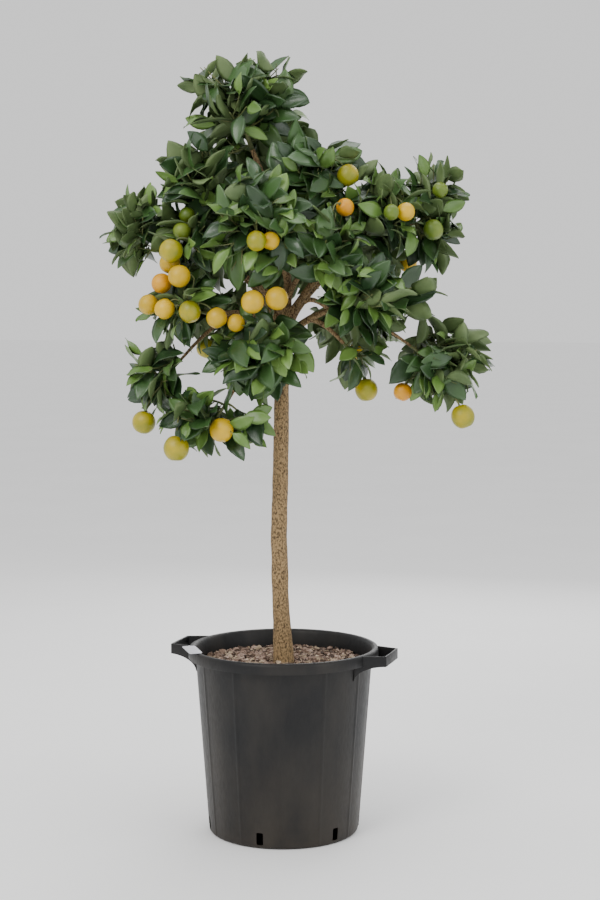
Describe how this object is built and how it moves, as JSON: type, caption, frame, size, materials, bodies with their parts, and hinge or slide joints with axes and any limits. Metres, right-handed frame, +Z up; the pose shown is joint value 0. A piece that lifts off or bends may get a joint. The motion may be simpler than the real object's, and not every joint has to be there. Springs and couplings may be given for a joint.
{
  "type": "potted kumquat tree",
  "caption": "Small standard citrus tree with a clear stem, a dense leafy crown and small yellow fruit, in a black nursery pot with a handle on each side.",
  "frame": {"origin": "centre of the pot's flat underside", "axes": "+Z up along the pot's axis, X through the two handles; the pictured side looks along (-0.31, 0.95, 0)"},
  "size_m": [0.6797, 0.5262, 1.4457],
  "materials": {
    "pot": "matte black moulded plastic, a little dusty",
    "mulch": "dry bark and lava chips on potting mix",
    "label": "plain pale label plastic",
    "bark": "rough tan bark",
    "leaf": "glossy dark green leaves",
    "twig": "smooth green twig bark",
    "fruit": "waxy citrus rind"
  },
  "bodies": {
    "root": {"pot": "pot", "potting_mix": "mulch", "label": "label", "trunk": "bark", "bough_top": "bark", "bough_upper_left": "bark", "bough_upper_right": "bark", "bough_back_top": "bark", "bough_heart": "bark", "bough_left": "bark", "bough_left_tip": "bark", "bough_left_low": "bark", "bough_left_hang": "bark", "bough_centre_low": "bark", "bough_lower_left": "bark", "bough_front_right": "bark", "bough_right": "bark", "bough_right_tip": "bark", "bough_right_mid": "bark", "bough_right_hang": "bark", "bough_right_inner": "bark", "bough_back_mid": "bark", "bough_back_left": "bark", "bough_back_right": "bark", "bough_back_low_left": "bark", "bough_back_low_right": "bark", "foliage_top": "leaf", "foliage_upper_left": "leaf", "foliage_upper_right": "leaf", "foliage_back_top": "leaf", "foliage_heart": "leaf", "foliage_left": "leaf", "foliage_left_tip": "leaf", "foliage_left_low": "leaf", "foliage_left_hang": "leaf", "foliage_centre_low": "leaf", "foliage_lower_left": "leaf", "foliage_front_right": "leaf", "foliage_right": "leaf", "foliage_right_tip": "leaf", "foliage_right_mid": "leaf", "foliage_right_hang": "leaf", "foliage_right_inner": "leaf", "foliage_back_mid": "leaf", "foliage_back_left": "leaf", "foliage_back_right": "leaf", "foliage_back_low_left": "leaf", "foliage_back_low_right": "leaf"}
  },
  "joints": []
}
